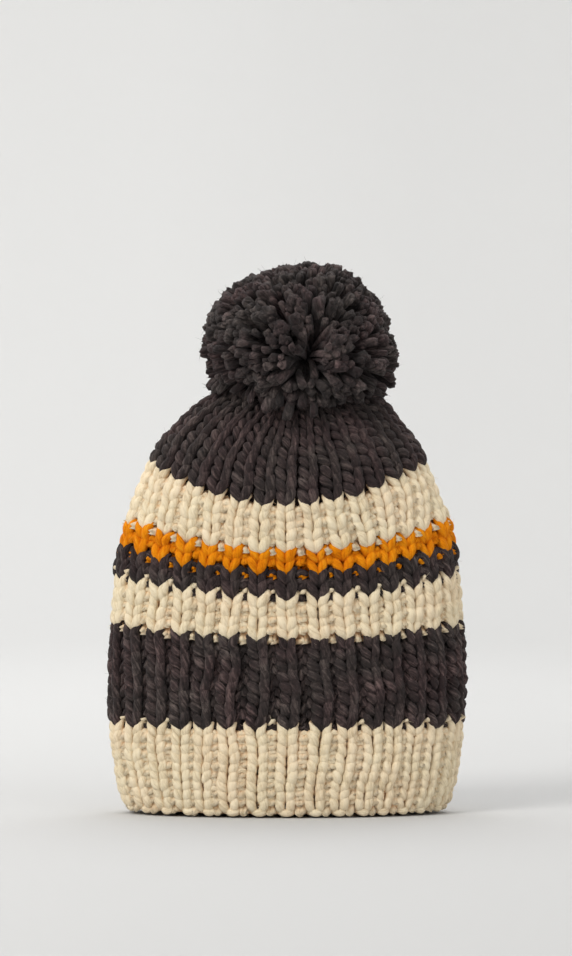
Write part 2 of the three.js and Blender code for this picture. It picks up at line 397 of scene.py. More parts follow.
def fuzz(paths, verts, yarn, shape, count, reach=(1.2, 3.6)):
    """Short loose fibres standing off the yarn: three-sided hairs that taper to a point."""
    tubes, rings, sides = shape
    v, y = verts.reshape(*shape, 3), yarn.reshape(*shape, 3)
    a = rng.integers(0, tubes, count * 3)
    b = rng.integers(0, rings, count * 3)
    c = rng.integers(0, sides, count * 3)
    radial = unit(v[a, b, c] - paths[a, b])
    outward = unit(paths[a, b] * np.array([1.0, 4.0, 0.0]) + np.array([0, 0, 1e-3]))
    keep = np.flatnonzero((radial * outward).sum(-1) > 0.05)[:count]
    a, b, c, radial = a[keep], b[keep], c[keep], radial[keep]
    hairs = len(a)
    tangent = unit(paths[a, (b + 1) % rings] - paths[a, b - 1])
    aim = unit(radial * rng.uniform(0.25, 1.0, (hairs, 1))
               + tangent * rng.normal(0, 0.9, (hairs, 1)) + rng.normal(0, 0.35, (hairs, 3)))
    length = rng.uniform(reach[0], reach[1], (hairs, 1, 1))
    curl = rng.normal(0, 0.38, (hairs, 1, 3))
    t = np.array([0.0, 0.4, 0.75, 1.0])[None, :, None]
    line = (v[a, b, c] - radial * 0.35)[:, None] + length * (aim[:, None] * t + curl * t * t)
    e1 = unit(np.cross(aim, rng.normal(0, 1, aim.shape)))
    e2 = np.cross(aim, e1)
    turn = np.arange(3) / 3 * TAU
    offset = (e1[:, None] * np.cos(turn)[None, :, None]
              + e2[:, None] * np.sin(turn)[None, :, None])
    radius = np.array([0.075, 0.06, 0.045])[None, :, None, None]
    ring_verts = line[:, :3, None] + offset[:, None] * radius
    hair = np.concatenate([ring_verts.reshape(hairs, 9, 3), line[:, 3:4]], 1)
    hair[..., 2] = np.maximum(hair[..., 2], FLOOR_GAP)
    quads = tube_faces(hairs, 3, 3, False, stride=10)
    base = np.arange(hairs)[:, None] * 10
    j = np.arange(3)[None, :]
    tip = np.stack(np.broadcast_arrays(base + 6 + j, base + 6 + (j + 1) % 3, base + 9), -1)
    foot = np.concatenate([base + 2, base + 1, base], 1)
    hair_yarn = np.repeat(y[a, b, c][:, None] + rng.normal(0, 0.5, (hairs, 1, 3)), 10, 1)
    tris = np.concatenate([tip.reshape(-1, 3), foot])
    return hair.reshape(-1, 3), quads, tris, hair_yarn.reshape(-1, 3)


def joined(first, second):
    """Two (vertices, quads, yarn coordinate) meshes as one."""
    return (np.concatenate([first[0], second[0]]),
            np.concatenate([first[1], second[1] + len(first[0])]),
            np.concatenate([first[2], second[2]]))


def with_fuzz(verts, quads, yarn, tris, hairs):
    hair_verts, hair_quads, hair_tris, hair_yarn = hairs
    hair_tris = hair_tris + len(verts)
    tris = hair_tris if tris is None else np.concatenate([tris, hair_tris])
    mesh = joined((verts, quads, yarn), (hair_verts, hair_quads, hair_yarn))
    return *mesh, tris


def make_mesh(name, verts, quads, yarn=None, tris=None, tone=None, deep=None):
    """A smooth-shaded Blender object from mm vertices, quads and optional triangles."""
    mesh = bpy.data.meshes.new(name)
    n_quads, n_tris = len(quads), 0 if tris is None else len(tris)
    mesh.vertices.add(len(verts))
    mesh.vertices.foreach_set("co", (np.asarray(verts, np.float32) * MM).ravel())
    loops = np.asarray(quads, np.int32).ravel()
    if n_tris:
        loops = np.concatenate([loops, np.asarray(tris, np.int32).ravel()])
    mesh.loops.add(len(loops))
    mesh.loops.foreach_set("vertex_index", loops)
    mesh.polygons.add(n_quads + n_tris)
    starts = np.concatenate([np.arange(n_quads) * 4, n_quads * 4 + np.arange(n_tris) * 3])
    mesh.polygons.foreach_set("loop_start", starts.astype(np.int32))
    mesh.polygons.foreach_set("use_smooth", np.full(n_quads + n_tris, True))
    mesh.update(calc_edges=True)
    mesh.validate()
    for label, kind, key, values in (("yarn_co", "FLOAT_VECTOR", "vector", yarn),
                                     ("yarn_tone", "FLOAT", "value", tone),
                                     ("yarn_deep", "FLOAT", "value", deep)):
        if values is not None:
            attribute = mesh.attributes.new(label, kind, "POINT")
            attribute.data.foreach_set(key, np.asarray(values, np.float32).ravel())
    obj = bpy.data.objects.new(name, mesh)
    bpy.context.scene.collection.objects.link(obj)
    return obj


yarn_pieces = []  # (object, key of its wool)


def place(obj, node, body, wool_key):
    """Tell the frame which node a yarn object replaces, and note its wool for later."""
    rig.replaces(obj, node)
    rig.ride(obj, body)
    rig.slot(obj, wool_key.split("_")[0] + "_yarn")
    yarn_pieces.append((obj, wool_key))


# ------------------------------------------------------------------ stitches
# Each row of a table: across (mm), up (rows), out (amplitudes), thickness (yarn radii).
KNIT_SYM = np.array([
    (-2.2, 0.00, -0.80, 0.56), (-0.95, 0.20, 0.25, 0.66), (-2.35, 0.60, 0.92, 0.98),
    (-3.4, 1.04, 0.95, 1.02), (-4.3, 1.42, 0.55, 0.74), (-3.6, 1.74, -0.25, 0.46),
    (0, 1.82, -0.60, 0.50),
    (3.6, 1.74, -0.25, 0.46), (4.3, 1.42, 0.55, 0.74), (3.4, 1.04, 0.95, 1.02),
    (2.35, 0.60, 0.92, 0.98), (0.95, 0.20, 0.25, 0.66), (2.2, 0.00, -0.80, 0.56)])
KNIT_LEAF = np.array([
    (-1.9, 0.00, -0.80, 0.56), (-0.55, 0.28, 0.20, 0.72), (-2.0, 0.62, 0.92, 1.00),
    (-3.7, 0.94, 0.85, 1.02), (-4.9, 1.26, 0.30, 0.74), (-4.0, 1.62, -0.30, 0.50),
    (0, 1.82, -0.60, 0.50),
    (3.0, 1.78, 0.35, 0.72), (3.3, 1.40, 0.90, 0.94), (3.25, 1.04, 1.0, 1.0),
    (3.1, 0.62, 0.98, 1.0), (2.8, 0.22, 0.60, 0.86), (2.5, -0.02, -0.60, 0.56)])
KNIT_CORD = np.array([
    (-2.3, -0.02, -0.60, 0.56), (-2.35, 0.22, 0.45, 0.84), (-2.75, 0.62, 0.92, 0.98),
    (-3.05, 1.04, 0.98, 1.0), (-3.35, 1.42, 0.78, 0.88), (-3.1, 1.76, 0.10, 0.60),
    (0, 1.82, -0.60, 0.50),
    (3.1, 1.76, 0.10, 0.60), (3.35, 1.42, 0.78, 0.88), (3.05, 1.04, 0.98, 1.0),
    (2.75, 0.62, 0.92, 0.98), (2.35, 0.22, 0.45, 0.84), (2.3, -0.02, -0.60, 0.56)])
PURL = np.array([
    (0.05, 0.12, 1.00, 0.76), (-0.75, 0.42, 0.0, 0.60), (-1.7, 0.84, -0.90, 0.66),
    (-2.5, 1.16, -0.45, 0.66), (-2.0, 1.44, 0.35, 0.62), (0, 1.64, 0.84, 0.62),
    (2.0, 1.44, 0.35, 0.62), (2.5, 1.16, -0.45, 0.66), (1.7, 0.84, -0.90, 0.66),
    (0.75, 0.42, 0.0, 0.60), (-0.05, 0.12, 1.00, 0.76)])
PURL_SLANT = np.array([
    (-1.3, -0.22, 0.75, 0.86), (-0.5, 0.22, 0.45, 0.78), (-1.7, 0.84, -0.90, 0.62),
    (-2.4, 1.16, -0.60, 0.62), (-1.6, 1.50, 0.0, 0.56), (0, 1.80, 0.25, 0.56),
    (1.6, 1.50, 0.0, 0.56), (2.4, 1.16, -0.60, 0.62), (1.7, 0.84, -0.75, 0.64),
    (1.0, 0.62, 0.35, 0.78), (1.0, 0.34, 1.0, 0.92)])
MID = -8.0  # the middle of the fabric, from the outer face
KNIT_OUT = 1.2  # level of the knit columns, from the middle
PURL_RELIEF = 3.2  # amplitude of the purl bumps
FLOOR_GAP = 0.35  # lowest height of any yarn


@dataclass
class Knit:
    """How a run of rounds is knitted."""
    radius: float  # yarn radius, mm
    relief: float  # amplitude of the knit columns, mm
    leaf: float  # share of leaf-shaped legs
    cord: float = 0.0  # share of cord-shaped legs
    purl_out: float = -0.9  # level of the purls from the middle, mm
    width: float = 1.0  # scale of the knit columns
    slant: float = 0.0  # share of slanted purls
    bead: float = 1.0  # scale of the purl yarn
    uneven: float = 1.0
    dash: float = 0.0  # chance of a thin arch showing over the last round
    flare: bool = False  # ears of the last round splay
    arch: tuple = None  # out and thickness of the loop that closes over the last round
    drop: float = 0.10  # height of the first round's purl feet, in rows
    foot: tuple = (0.70, 1.0)  # thickness and out of those feet


def mirrored(table, i, across, *rest):
    """Set a row of a stitch table and its mirror image."""
    table[i] = (-across, *rest)
    table[-1 - i] = (across, *rest)


def knit_table(knit, first, last):
    table = (KNIT_SYM * (1 - knit.leaf - knit.cord) + KNIT_LEAF * knit.leaf
             + KNIT_CORD * knit.cord)
    if first:  # the first round of a colour shows its whole V, down to the point
        mirrored(table, 0, 1.9, -0.04, -0.75, 0.5)
        mirrored(table, 1, 0.55, 0.06, 0.45, 0.60)
        mirrored(table, 2, 1.9, 0.50, 0.95, 0.96)
    if last:  # the last round of a colour ends in two pointed ears beside the next colour
        if knit.flare:  # the left ear is shorter than the right
            mirrored(table, 2, 2.0, 0.56, 0.92, 0.98)
            table[3], table[-4] = (-3.3, 1.00, 1.0, 0.96), (3.4, 0.98, 1.0, 1.0)
            table[4], table[-5] = (-4.6, 1.42, 0.80, 0.62), (5.1, 1.40, 0.86, 0.76)
            table[5], table[-6] = (-5.5, 1.84, 0.25, 0.20), (6.4, 1.78, 0.35, 0.20)
        else:
            mirrored(table, 2, 2.35, 0.62, 0.92, 0.96)
            mirrored(table, 3, 3.3, 1.10, 1.0, 0.88)
            mirrored(table, 4, 4.6, 1.50, 0.82, 0.54)
            mirrored(table, 5, 5.75 if knit.arch or not knit.dash else 5.2,
                     1.66 if knit.arch else 1.90, 0.30, 0.24 if knit.arch else 0.20)
        table[6] = (0, 1.70, -1.2, 0.40)
    return table


def purl_rows(knit, centre, pitch, first, last):
    """Control rows of one purl: column, up, out, thickness."""
    table = PURL * (1 - knit.slant) + PURL_SLANT * knit.slant
    table[:, 0] *= min(max((pitch - 10.6) / 3.8, 0.6), 1.6)
    table[:, 1] += rng.normal(0, 0.03)
    thick = knit.bead * (1 + 0.10 * rng.normal())
    level = 0.4 * rng.normal()
    shift = 0.3 * rng.normal()
    if last:
        show = knit.dash > 0 and pitch > 9.5 and rng.uniform() < knit.dash
        tilt = rng.normal(0.10, 0.06)
        lift = 0.0 if knit.flare else 0.16
        if knit.arch:  # a dark loop closes over the first bump of the next colour
            out, thin = knit.arch
            mirrored(table, 3, 2.5, 0.90, -0.7, 0.4)
            mirrored(table, 4, 2.3, 1.16, out - 0.5, thin)
            table[5] = (0, 1.36, out, thin)
        else:
            mirrored(table, 3, 1.9, 1.40, -1.3, 0.40)
            if show:  # here and there a thin arch of the colour shows over the next one
                table[4] = (-0.65, 1.66 + lift - tilt, 0.9, 0.24)
                table[5] = (0.6, 1.76 + lift, 1.6, 0.42)
                table[6] = (1.7, 1.76 + lift + tilt, 0.9, 0.24)
            else:
                mirrored(table, 4, 1.6, 1.50, -1.4, 0.40)
                table[5] = (0, 1.60, -1.4, 0.40)
    if first:  # the purl bumps of a new colour hang a little into the one below
        foot_thick, foot_out = knit.foot
        table[0] = (0.3, knit.drop + 0.16, foot_out, 0.76 * foot_thick)
        table[-1] = (0.5, knit.drop - 0.10, foot_out, 0.76 * foot_thick)
        table[1, 1:3] = table[-2, 1:3] = (knit.drop + 0.40, -0.5)
    return [(centre + (across + shift + rng.normal(0, 0.22)) / pitch, up + rng.normal(0, 0.03),
             out * PURL_RELIEF + knit.purl_out + level, r * thick)
            for across, up, out, r in table]


def course(start, rise, knit, crown=False, columns=NCOL, first=False, last=False):
    """One knitted round. Returns the path (N, 3) and the radii (N).

    The crown has knit stitches only; elsewhere a purl follows each of them."""
    step = NCOL // columns
    shape = knit_table(knit, first, last)
    rows = []
    for k in range(columns):
        c = k * step
        angle = angle_of(np.array([c + 0.0, c + 0.05 * step]), start + rise)
        _, _, spread = frame_at(np.full(2, min(start + rise, 43.5)), angle)
        pitch = float(spread[0] * (angle[1] - angle[0]) / 0.05)  # mm per column
        jitter = np.clip(rng.normal(0, 1, 6), -2, 2) * knit.uneven
        if crown:
            size = min(pitch / 12.9, 1.2)
            half = 0.5 * step * 0.97
            entry_out, entry_thick = -1.1 * knit.relief * size, 0.78
        else:
            size = min(pitch / 15.2, 1.08) * knit.width
            half = min(5.6 * size / pitch, 0.5 * 0.84)
            entry_out, entry_thick = (-0.08 - 0.27 * knit.slant) * knit.relief, 0.64
        legs = shape.copy()
        legs[:, 0] *= size * (1 + 0.06 * jitter[0])
        legs[1:-1, 1] += 0.045 * jitter[1] + rng.normal(0, 0.024 * knit.uneven, 11)
        legs[:, 0] += rng.normal(0, 0.20 * knit.uneven, 13) + 0.18 * jitter[5]
        if crown:
            out = legs[:, 2] * knit.relief * size + KNIT_OUT - max(1 - size, 0) * 1.5
        else:
            out = (legs[:, 2] * knit.relief * (1 + 0.06 * jitter[2]) + KNIT_OUT
                   + 0.25 * jitter[3])
        thick = (legs[:, 3] * (1 + 0.055 * jitter[4])
                 * (min(size, size ** 0.5) if crown else size ** 0.6))
        rows.append((c - half, 0.0 + 0.02 * jitter[5], entry_out, entry_thick))
        rows += zip(c + legs[:, 0] / pitch * step, legs[:, 1], out, thick)
        if not crown:
            rows.append((c + half, 0.0, entry_out, 0.64))
            rows += purl_rows(knit, c + 0.5, pitch, first, last)

    # A closed spline through the rows; the rows past the seam keep counting columns.
    samples = ([2] * 13 + [1] + ([] if crown else [1] * 12)) * columns
    turn = np.array([NCOL, 0, 0, 0])
    rows = np.array(rows)
    control = np.concatenate([rows[-1:] - turn, rows, rows[:2] + turn])
    i = np.repeat(np.arange(len(rows)), samples)
    f = np.concatenate([np.arange(s) / s for s in samples])[:, None]
    curve = spline(control[i], control[i + 1], control[i + 2], control[i + 3], f)

    column = curve[:, 0]
    level = start + curve[:, 1] * rise
    angle = angle_of(column, level)
    _, _, spread = frame_at(np.clip(level, 0, TOP), angle)
    sway = 1.0 if crown else 1.15 + 0.9 * np.exp(-((level - 12) / 3.2) ** 2)
    angle = angle + wander(column, level) * sway / np.maximum(spread, 8)
    point, normal, _ = frame_at(np.clip(level, 0, TOP), angle)
    beyond = np.maximum(level - TOP, 0)[:, None]
    path = point + normal * (MID + curve[:, 2])[:, None] + np.array([0, 0, 4.0]) * beyond
    return path, np.clip(curve[:, 3], 0.2, 1.15) * knit.radius


def floats(levels, radius):
    """Yarn that runs round behind the columns and closes the fabric."""
    rings = []
    columns = np.linspace(0, NCOL, 360, endpoint=False)
    wave = -np.cos(columns * TAU)  # 1 at the columns that show on the inside
    for level in levels:
        # a point downward on each of them
        dip = (4 * np.abs(columns % 1 - 0.5) - 1) * min(0.30, level / 5)
        point, normal, _ = frame_at(level + dip, angle_of(columns, level))
        rings.append(point + normal * (MID - 1.5 - 0.4 * wave)[:, None])
    radii = np.tile(radius * (0.95 + 0.17 * wave), (len(rings), 1))
    return sweep(np.array(rings), radii, phase=np.full(len(rings), 0.4))[:3]


# ------------------------------------------------------------------ the bands
BANDS = [  # name, wool, first and last level, rounds, knitting
    ("brim_band", "cream", 0.45, 8.0, 9, Knit(
        radius=2.9, relief=3.1, leaf=0.08, cord=0.82, purl_out=1.6, width=1.08, slant=0.30,
        bead=1.15, uneven=1.1, dash=0.6)),
    # The wide band's wool is the charcoal copy with painted shade in its grooves and a lightened light end for the
    # highlights on its ribs.
    ("wide_charcoal_band", "charcoal_rib", 8.0, 16.0, 8, Knit(
        radius=3.0, relief=3.5, leaf=1.0, purl_out=-0.2, width=0.94, slant=1.0,
        uneven=1.2, arch=(0.40, 0.40))),
    ("lower_cream_band", "cream", 16.0, 20.0, 4, Knit(
        radius=3.0, relief=3.2, leaf=0.05, cord=0.72, purl_out=1.4, width=1.05, slant=0.35,
        bead=1.15, uneven=1.2, dash=0.85, flare=True, drop=-0.04, foot=(0.72, 1.25))),
    ("narrow_charcoal_band", "charcoal", 20.0, 22.0, 2, Knit(
        radius=3.0, relief=3.3, leaf=0.30, cord=0.10, purl_out=1.2, width=0.97, slant=0.2,
        bead=1.1, uneven=1.5, arch=(0.95, 0.60))),
    ("mustard_band", "mustard", 22.0, 24.0, 2, Knit(
        radius=2.85, relief=3.1, leaf=0.20, purl_out=1.7, width=0.97, slant=0.20,
        uneven=1.8, flare=True, drop=-0.12)),
    ("upper_cream_band", "cream", 24.0, CROWN_START, 5, Knit(
        radius=3.0, relief=3.2, leaf=0.0, cord=0.75, purl_out=1.4, width=1.05, slant=0.35,
        bead=1.15, uneven=1.2, drop=0.02, foot=(0.86, 1.45))),
]


def cast_on_edge(samples):
    """A scalloped cord under the first round, with as many points as the rounds have."""
    columns = np.arange(0, NCOL, 1 / 24)
    wave = np.cos(columns * TAU)
    point, normal, _ = frame_at(0.42 + 0.26 * (1 - wave) / 2, angle_of(columns))
    path = point + normal * (MID + 1.6 + 3.0 * wave)[:, None]
    path = np.concatenate([path, path[:1]])
    have = np.linspace(0, 1, len(columns) + 1)
    want = np.linspace(0, 1, samples, endpoint=False)
    radii = np.full(samples, 2.15) + 0.3 * np.interp(want, have, np.append(wave, wave[0]))
    return np.stack([np.interp(want, have, path[:, k]) for k in range(3)], -1), radii


def build_band(name, wool_key, start, end, rounds, knit):
    rise = (end - start) / rounds
    brim = name == "brim_band"
    parts = [course(start + i * rise, rise, knit, first=i == 0 and not brim,
                    last=i == rounds - 1) for i in range(rounds)]
    if brim:
        parts.append(cast_on_edge(len(parts[0][0])))
    paths, radii = [np.array(part) for part in zip(*parts)]
    verts, faces, yarn, shape = sweep(paths, radii, phase=random_phases(len(paths)))
    backing = floats(start + rise * (np.arange(rounds) + 0.55), 1.7)
    verts[:, 2] = np.maximum(verts[:, 2], FLOOR_GAP)
    hairs = fuzz(paths, verts, yarn, shape, 420 * rounds)
    verts, faces, yarn, tris = with_fuzz(*joined((verts, faces, yarn), backing), None, hairs)
    # The depth goes on the mesh as the mask of the painted shade in the grooves.
    band = make_mesh(name + "_knit", verts, faces, yarn, tris, deep=depth_of(verts))
    place(band, name, "hat", wool_key)


# ------------------------------------------------------------------ the crown
CROWN_KNIT = Knit(radius=2.95, relief=3.7, leaf=0.85, uneven=1.2)
CROWN_RISE = 1.12  # levels for each round
CROWN_HALVES = 38.0  # level where every second column ends
CROWN_END = 42.6  # no round starts above this level


def build_crown():
    """Only the knit columns show, and they taper to the closure."""
    full, halved = [], []
    level = CROWN_START
    while level < CROWN_END:
        lower = level < CROWN_HALVES
        (full if lower else halved).append(course(
            level, CROWN_RISE, CROWN_KNIT, crown=True, columns=NCOL if lower else NCOL // 2,
            first=level == CROWN_START))
        level += CROWN_RISE
    paths, radii = [np.array(part) for part in zip(*full)]
    verts, faces, yarn, shape = sweep(paths, radii, phase=random_phases(len(paths)))
    top_paths, top_radii = [np.array(part) for part in zip(*halved)]
    top = sweep(top_paths, top_radii, phase=random_phases(len(top_paths)))[:3]
    top = joined(top, floats(np.arange(29.4, 39.0, 0.56), 1.75))
    hairs = fuzz(paths, verts, yarn, shape, 2200)
    *lower_part, tris = with_fuzz(verts, faces, yarn, None, hairs)
    crown = make_mesh("crown_panel_knit", *joined(lower_part, top), tris)
    place(crown, "crown_panel", "hat", "charcoal")


for band in BANDS:
    build_band(*band)
build_crown()

# ------------------------------------------------------------------ the pompom
rng = np.random.default_rng(47)
AXIS_X = 8.0  # the closure and the pompom stand to the right of the hat's middle
BALL = np.array([AXIS_X, 0.0, 289.0])
BALL_RADII = np.array([59.5, 54.0, 46.5])
STRANDS = 1650
# The two ends of the parting on the front, as directions from the middle of the ball
PARTING = [np.array([0.26, -1.0, 0.16]), np.array([0.09, -1.0, -0.42])]
# Bare spots of the parting: direction, half angle in degrees
BARE_SPOTS = ((np.array([0.08, -1.0, -0.35]), 11.0), (np.array([0.27, -1.0, 0.04]), 6.5))
# Lopsided outline seen from the front: degrees from +X towards +Z, scale
LOPSIDED = np.array([
    (-60, 1.02), (-30, 1.04), (-15, 1.02), (0, 0.955), (15, 0.925), (30, 0.935),
    (45, 0.965), (60, 1.01), (75, 1.02), (90, 0.975), (105, 0.932), (120, 0.92),
    (135, 0.935), (150, 0.955), (165, 0.95), (180, 0.975), (190, 1.0), (200, 0.99),
    (215, 0.97), (240, 0.97), (270, 1.0), (300, 1.02)])
# Along a strand, from root to cut end: position, thickness, raggedness
STRAND_T = np.concatenate([np.linspace(0, 0.9, 7), [0.955, 0.985, 1.0]])
STRAND_THICK = np.interp(STRAND_T, [0, 0.3, 0.6, 0.85, 0.9, 0.955, 0.985, 1.0],
                         [0.26, 0.5, 0.8, 1.0, 1.05, 1.04, 0.92, 0.62])
STRAND_RAG = np.array([0, 0, 0, 0, 0, .15, .5, .9, 1.2, 1.2])


def crown_hit(points, gap):
    """True where a point is inside the crown, grown by a gap."""
    z = points[..., 2]
    inside = np.zeros(z.shape, bool)
    for level in np.linspace(CROWN_START, TOP, 31):
        width, depth, side_z, front_z, lean = section(level)
        x = (points[..., 0] - lean) / (width + gap)
        y = points[..., 1] / (depth + gap)
        r2 = x * x + y * y
        cos2 = np.where(r2 > 1e-9, x * x / np.maximum(r2, 1e-9), 0)
        inside |= (r2 < 1) & (z < front_z + (side_z - front_z) * cos2 + gap)
    return inside


def swirl(directions, freq, seed):
    """A smooth vector field over the ball, so that strands lie in clumps."""
    field_rng = np.random.default_rng(seed)
    out = np.zeros_like(directions)
    for _ in range(5):
        waves = field_rng.normal(0, freq, (3, 3))
        out += np.sin(directions @ waves + field_rng.uniform(0, TAU, 3))
    return out / 2.2


def envelope(u):
    """How far the ball reaches: round above, fuller and squarer below, lopsided."""
    power = np.where(u[:, 2] < 0, np.where(u[:, 0] < 0, 2.45, 2.8), 2.05)
    r = (np.abs(u) / BALL_RADII) ** power[:, None]
    angle = np.mod(np.degrees(np.arctan2(u[:, 2], u[:, 0])) + 60, 360) - 60
    uneven = np.interp(angle, LOPSIDED[:, 0], LOPSIDED[:, 1]) - 1
    uneven = 1 + uneven * np.sqrt(np.clip(1 - u[:, 1] ** 2, 0, 1))
    return r.sum(-1, keepdims=True) ** (-1 / power[:, None]) * uneven[:, None]


def even_directions():
    """Directions spread over a sphere on a spiral, slightly shaken."""
    i = np.arange(STRANDS) + 0.5
    z = 1 - 2 * i / STRANDS
    turn = i * math.pi * (1 + 5 ** 0.5)
    flat = np.sqrt(1 - z * z)
    spiral = np.stack([flat * np.cos(turn), flat * np.sin(turn), z], -1)
    return unit(spiral + rng.normal(0, 0.045, spiral.shape))


def skirt_tips(tip, aim):
    """Tips that hang over the crown instead, and how far each is to the hat's sides."""
    height = np.linspace(232, 268, 73)
    crown = slice(CROWN_START * PER_ROUND, None)
    side_level = np.interp(height, SIDE_Z[crown], LEVELS[crown])
    front_level = np.interp(height, FRONT_Z[crown], LEVELS[crown])
    width = np.interp(side_level, LEVELS, HALF_WIDTH)
    depth = np.interp(front_level, LEVELS, HALF_DEPTH)
    lean = np.interp(side_level, LEVELS, LEAN_X)
    turn = np.arctan2(aim[:, 1], aim[:, 0])
    flank = np.cos(turn) ** 2
    z = np.clip(tip[:, 2] + rng.uniform(0, 9, STRANDS), 241 + 18 * flank, 266)
    long = rng.uniform(0, 1, STRANDS) < 0.16
    long &= (aim[:, 1] < -0.3) & (np.abs(aim[:, 0] - 0.2) < 0.45)
    z = np.where(long, 242 - rng.uniform(0, 5.0, STRANDS), z)
    gap = 4.4 + rng.uniform(0, 5, STRANDS) * (1 - 0.8 * flank)
    turn = turn + rng.normal(0, 0.07, STRANDS)
    cos, sin = np.cos(turn), np.sin(turn)
    r = 1 / np.sqrt((cos / (np.interp(z, height, width) + gap)) ** 2
                    + (sin / (np.interp(z, height, depth) + gap)) ** 2)
    return np.stack([np.interp(z, height, lean) + r * cos, r * sin, z], -1), flank


def strand_guides():
    """Root shift, middle, tip and tip direction of every strand that is kept."""
    start = even_directions()
    # distance from the parting, an arc on the front of the ball
    upper, lower = unit(PARTING[0]), unit(PARTING[1])
    t = np.linspace(0, 1, 9)[:, None]
    arc = unit(upper[None] * (1 - t) + lower[None] * t)
    dots = start @ arc.T
    near = arc[np.argmax(dots, 1)]
    off = np.arccos(np.clip(dots.max(1), -1, 1))
    away = unit(start - (start * near).sum(-1, keepdims=True) * near
                + rng.normal(0, 0.05, start.shape))
    # the left of the ball stays end-on
    side = np.clip(0.5 + 0.8 * (away @ np.array([0.86, 0.0, -0.5])), 0.12, 1.0)
    push = math.radians(8.5) * side * np.exp(-(off / math.radians(16)) ** 2)
    lean = math.radians(6.5) * side * np.exp(-(off / math.radians(34)) ** 2)
    clumps = swirl(start, 3.2, 5)
    aim = unit(start * np.cos(push + lean)[:, None] + away * np.sin(push + lean)[:, None]
               + 0.10 * clumps + rng.normal(0, 0.075, start.shape))
    mid_aim = unit(start + 0.03 * clumps + rng.normal(0, 0.05, start.shape))
    length = (1 + rng.normal(0, 0.028, STRANDS)
              - 0.12 * np.exp(-(off / math.radians(13)) ** 2)
              + 0.02 * swirl(start, 4.5, 8)[:, 0])
    length = np.where(rng.uniform(0, 1, STRANDS) < 0.12,
                      length * rng.uniform(0.84, 0.95, STRANDS), np.minimum(length, 1.025))
    tip = BALL + aim * envelope(aim) * length[:, None]
    mid = BALL + mid_aim * envelope(mid_aim) * 0.62 * length[:, None]
    # on the front the strands spring from a point a little below the middle
    low = np.clip(-start[:, 1:2] * 1.4, 0, 1) * np.array([3.0, 0.0, -12.0])
    mid = mid + 0.38 * low
    # strands that would run into the crown bend outwards and hang over it as a skirt
    hit = crown_hit(tip, 4.2)
    skirt, flank = skirt_tips(tip, aim)
    tip[hit] = skirt[hit]
    mid[hit] = BALL * 0.42 + skirt[hit] * 0.58 + np.array([0, 0, 7.0])
    # the skirt is sparser at the two sides
    keep = ~hit | (rng.uniform(0, 1, STRANDS) < 0.75 - 0.40 * flank)
    keep &= off > math.radians(3.5)
    for spot, degrees in BARE_SPOTS:
        keep &= aim @ unit(spot) < math.cos(math.radians(degrees))
    return low[keep], mid[keep], tip[keep], aim[keep]


def pompom_strands():
    """Paths, vertices and yarn coordinates of the strands, one row for each strand."""
    low, mid, tip, aim = strand_guides()
    count = len(tip)
    root = BALL + unit((mid - BALL) * np.array([1, 0.15, 1])) * rng.uniform(1.0, 4.5, (count, 1))
    root[:, 1] += np.sign(tip[:, 1]) * rng.uniform(2.9, 4.5, count)
    root = root + low
    t = STRAND_T[None, :, None]
    sideways = unit(np.cross(aim, rng.normal(0, 1, aim.shape)))
    bend = sideways * rng.uniform(0, 6.0, (count, 1))
    path = ((1 - t) ** 2 * root[:, None] + 2 * t * (1 - t) * (mid + bend)[:, None]
            + t ** 2 * tip[:, None])
    length = np.linalg.norm(tip - root, axis=-1)
    full = np.clip(rng.normal(2.5, 0.50, count), 1.5, 3.9) * np.clip(length / 40, 0.62, 1.0)
    verts, _, yarn, shape = sweep(path, full[:, None] * STRAND_THICK[None], closed=False,
                                  twist=0.16, phase=random_phases(count))
    verts = verts.reshape(*shape, 3)
    sides = shape[2]
    # cut ends are ragged: each facet of the last rings is moved a little
    ragged = rng.normal(0, 0.38, (count, 1, sides, 1)) * STRAND_RAG[None, :, None, None]
    verts = verts + ragged * unit(path[:, -1] - path[:, -3])[:, None, None]
    # three lobes round each strand, stronger towards the cut end
    lobes = np.cos(3 * np.arange(sides) / sides * TAU + rng.uniform(0, TAU, (count, 1)))
    growth = np.interp(STRAND_T, [0, 0.6, 0.95, 1], [0.04, 0.07, 0.17, 0.24])
    lobes = 1 + lobes[:, None, :] * growth[None, :, None]
    verts = path[:, :, None] + (verts - path[:, :, None]) * lobes[..., None]
    return path, verts, yarn.reshape(*shape, 3), tip


def end_fuzz(paths, verts, yarn, count):
    """Loose fibres near the cut ends, kept on the outside of the ball."""
    shift = np.array([AXIS_X, 0.0, 0.0])
    hair, quads, tris, hair_yarn = fuzz(paths - shift, verts.reshape(-1, 3) - shift, yarn,
                                        verts.shape[:3], count, (1.2, 4.0))
    return hair + shift, quads, tris, hair_yarn


def build_pompom():
    all_paths, all_verts, all_yarn, tip = pompom_strands()
    front = tip[:, 1] < 0
    ends = slice(5, None)  # the rings near the cut end
    for node, pick in (("pompom_front_half", front), ("pompom_back_half", ~front)):
        paths, strands, coords = all_paths[pick], all_verts[pick], all_yarn[pick]
        shape = strands.shape[:3]
        count, rings, sides = shape
        faces = tube_faces(count, rings, sides, False)
        tone = np.repeat(rng.normal(0, 1, count), rings * sides)
        verts, yarn, tris = cap_ends(strands.reshape(-1, 3), coords.reshape(-1, 3), shape)
        hairs = end_fuzz(paths[:, ends], strands[:, ends], coords[:, ends], 2600)
        tone = np.concatenate([tone, np.zeros(2 * count + len(hairs[0]))])
        verts, faces, yarn, tris = with_fuzz(verts, faces, yarn, tris, hairs)
        half = make_mesh(node + "_strands", verts, faces, yarn, tris, tone)
        place(half, node, "pompom", "charcoal_pom")


build_pompom()


